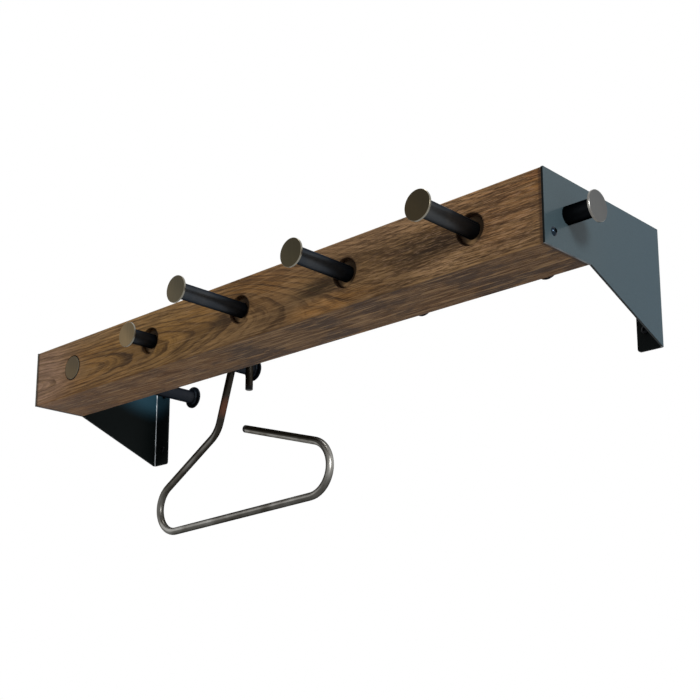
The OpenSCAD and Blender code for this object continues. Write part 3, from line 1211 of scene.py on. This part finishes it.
@dataclass
class Pegs:
    """The five sliding pegs and the two short end pegs."""

    def dress(self) -> None:
        """Puts on the blued rods and the brushed discs."""
        ROD.dress(f"peg_{n}_rod" for n in PEG_NUMBERS)
        HEAD.dress(f"peg_{n}_head" for n in PEG_NUMBERS)
        TAIL.dress(f"peg_{n}_tail" for n in PEG_NUMBERS)
        END_ROD.dress(f"end_rod_{side.word}" for side in Side)
        END_HEAD.dress(f"end_head_{side.word}" for side in Side)


@dataclass
class Hanger:
    """The bent-tube hanger with its two plugs."""

    def dress(self) -> None:
        """Puts on the patinated steel and the black plugs."""
        TUBE.dress(["hanger_tube"])
        PLUG.dress(["hanger_tip_plug", "hanger_arm_plug"])


@dataclass(frozen=True)
class Lamp:
    """A square soft light that shines at one point."""

    name: str
    place: Triple
    width: float
    level: float
    aim: Triple = (0.0, -0.2, 0.0)

    def build(self) -> None:
        """Hangs the lamp. A level of 1 lights a white surface that faces it to white."""
        away = Vector(self.place) - Vector(self.aim)
        data = bpy.data.lights.new(self.name, "AREA")
        data.shape = "SQUARE"
        data.size = self.width
        data.energy = self.level * math.pi**2 * away.length_squared
        lamp = bpy.data.objects.new(self.name, data)
        lamp.location = self.place
        lamp.rotation_euler = away.to_track_quat("Z", "Y").to_euler()
        bpy.context.scene.collection.objects.link(lamp)


@dataclass
class Studio:
    """The floor, the white surroundings and the lamps. Sizes are in metres."""

    floor_z: float = -0.8
    floor_radius: float = 2.4
    floor_facets: int = 96
    ambient: float = 0.5
    lamps: list[Lamp] = field(default_factory=lambda: [
        Lamp("key", (2.3, -1.25, 0.5), width=0.6, level=0.74),
        Lamp("fill", (-1.2, -2.6, -0.3), width=1.6, level=0.08),
        Lamp("top", (0.3, -0.7, 2.4), width=0.6, level=0.4),
    ])

    def _floor(self) -> None:
        """Lays the floor."""
        bpy.ops.mesh.primitive_circle_add(
            vertices=self.floor_facets,
            radius=self.floor_radius,
            fill_type="NGON",
            location=(0, 0, self.floor_z),
        )
        floor = bpy.context.object
        floor.name = "floor"
        floor.data.materials.append(StudioFloor("studio_floor", "").material())

    def _surroundings(self) -> None:
        """Makes the world white to look at, also in a reflection, and softer as a light."""
        world = bpy.data.worlds.new("studio")
        bpy.context.scene.world = world
        world.use_nodes = True
        graph = Graph(world.node_tree)
        strength = graph.shown() * (1 - self.ambient) + self.ambient
        light = graph.node("ShaderNodeBackground", None, {"Color": (1, 1, 1, 1), "Strength": strength})
        graph.node("ShaderNodeOutputWorld", None, {"Surface": light})

    def build(self) -> None:
        """Builds the studio."""
        self._floor()
        self._surroundings()
        for lamp in self.lamps:
            lamp.build()
        bpy.context.scene.view_settings.view_transform = "Standard"


@dataclass
class PhotoCamera:
    """A camera at the photograph's viewing angle, in front of the rack, low and to its right."""

    place: Triple = (1.226706, -1.323673, -0.541496)
    right: Triple = (0.718414, 0.695612, 0.002239)
    up: Triple = (0.142947, -0.150781, 0.978177)
    back: Triple = (0.680769, -0.702417, -0.207759)
    lens: float = 63.934
    sensor: float = 36.0
    shift: tuple[float, float] = (0.019643, 0.173749)

    def build(self) -> None:
        """Sets the camera up and makes it the scene's."""
        data = bpy.data.cameras.new("photo_camera")
        data.sensor_width = self.sensor
        data.lens = self.lens
        data.shift_x, data.shift_y = self.shift
        camera = bpy.data.objects.new("photo_camera", data)
        turned = Matrix((self.right, self.up, self.back)).transposed().to_4x4()
        camera.matrix_world = Matrix.Translation(self.place) @ turned
        bpy.context.scene.collection.objects.link(camera)
        bpy.context.scene.camera = camera


def main() -> None:
    """Builds the camera, the studio and each sub-assembly in order."""
    logging.basicConfig(level=logging.INFO, format="%(message)s")
    PhotoCamera().build()
    Studio().build()
    Beam().dress()
    Brackets().dress()
    WallScrews().dress()
    Pegs().dress()
    Hanger().dress()


if __name__ == "__main__":
    main()
